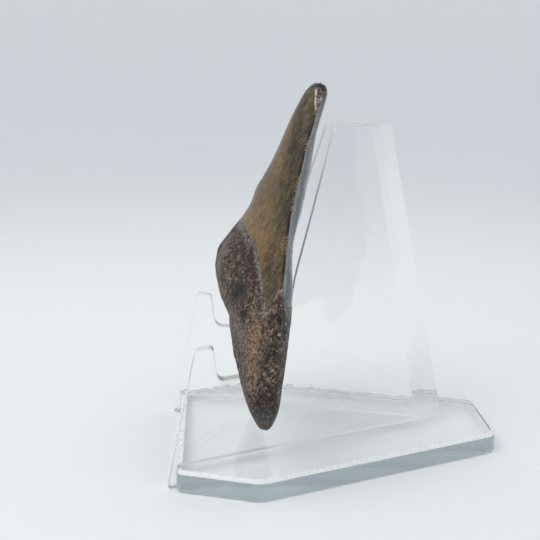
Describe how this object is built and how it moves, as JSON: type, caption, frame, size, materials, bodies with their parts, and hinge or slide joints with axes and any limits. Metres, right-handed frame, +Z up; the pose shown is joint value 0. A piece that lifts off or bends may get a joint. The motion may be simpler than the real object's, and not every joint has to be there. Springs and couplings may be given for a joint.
{
  "type": "fossil tooth on a stand",
  "caption": "Large triangular serrated fossil shark tooth with a thick forked root, leaning upright in a clear plastic V-shaped easel on a flat clear base.",
  "frame": {"origin": "bottom centre of the whole object's bounding box, on the table under the base plate", "axes": "+Z up; -Y the front, where the tooth's convex inner face looks; +Y the back, where the easel's spine is; +X and -X the tooth's two cutting edges"},
  "size_m": [0.084, 0.1136, 0.1263],
  "materials": {
    "fossil": "satin enamel over a rough porous root",
    "clear_easel": "clear, polished",
    "clear_base": "clear, polished"
  },
  "bodies": {
    "root": {"tooth": "fossil", "easel": "clear_easel", "base": "clear_base"}
  },
  "joints": []
}
